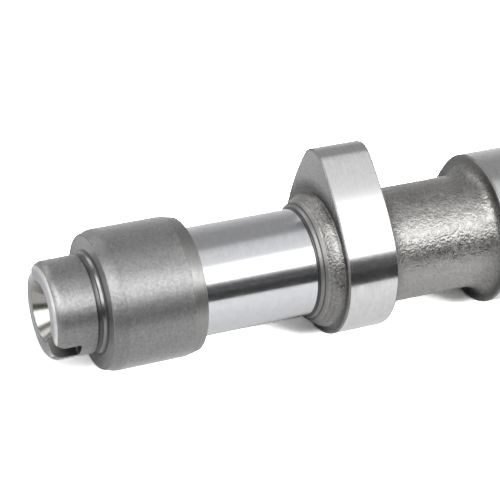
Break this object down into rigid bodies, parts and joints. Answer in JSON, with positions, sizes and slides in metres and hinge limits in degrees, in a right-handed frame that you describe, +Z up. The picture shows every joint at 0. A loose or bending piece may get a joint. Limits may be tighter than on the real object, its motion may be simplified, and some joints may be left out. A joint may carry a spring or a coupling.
{
  "type": "camshaft",
  "caption": "One-piece cast-iron engine camshaft with ground lobes and journals, a wide thrust collar, a slotted drive nose and a plain front seat.",
  "frame": {"origin": "on the shaft's axis, at the middle of the journal next to the thrust collar", "axes": "+X along the shaft from the slotted drive nose to the front seat, +Y across it, +Z up as it lies on a bench"},
  "size_m": [0.36, 0.0552, 0.0503],
  "materials": {
    "cast_iron": "ground journals and lobes, turned collar and nose, sand-cast webs"
  },
  "bodies": {
    "root": {"camshaft": "cast_iron"}
  },
  "joints": []
}
